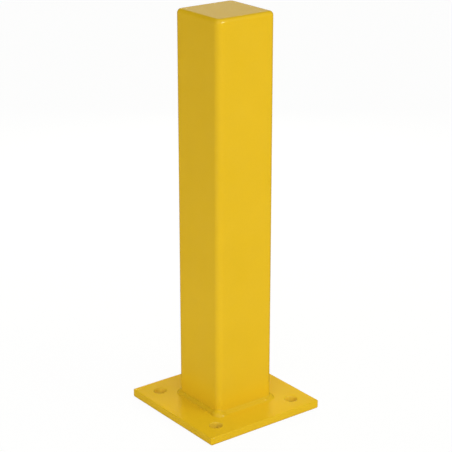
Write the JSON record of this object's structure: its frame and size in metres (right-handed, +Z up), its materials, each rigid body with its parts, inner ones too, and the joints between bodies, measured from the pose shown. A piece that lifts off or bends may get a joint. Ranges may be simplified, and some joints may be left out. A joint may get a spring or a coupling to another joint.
{
  "type": "steel bollard",
  "caption": "Square steel bollard post with a closed flat top, fillet welded to a square base plate drilled for floor anchors, in safety yellow paint.",
  "frame": {"origin": "middle of the base plate's underside", "axes": "+Z up along the post, X and Y square to the post's flat faces and the plate's sides"},
  "size_m": [0.2032, 0.2032, 0.6096],
  "materials": {
    "yellow_paint": "gloss"
  },
  "bodies": {
    "root": {"base_plate": "yellow_paint", "post_tube": "yellow_paint", "top_cap": "yellow_paint", "base_weld": "yellow_paint", "cap_weld": "yellow_paint"}
  },
  "joints": []
}
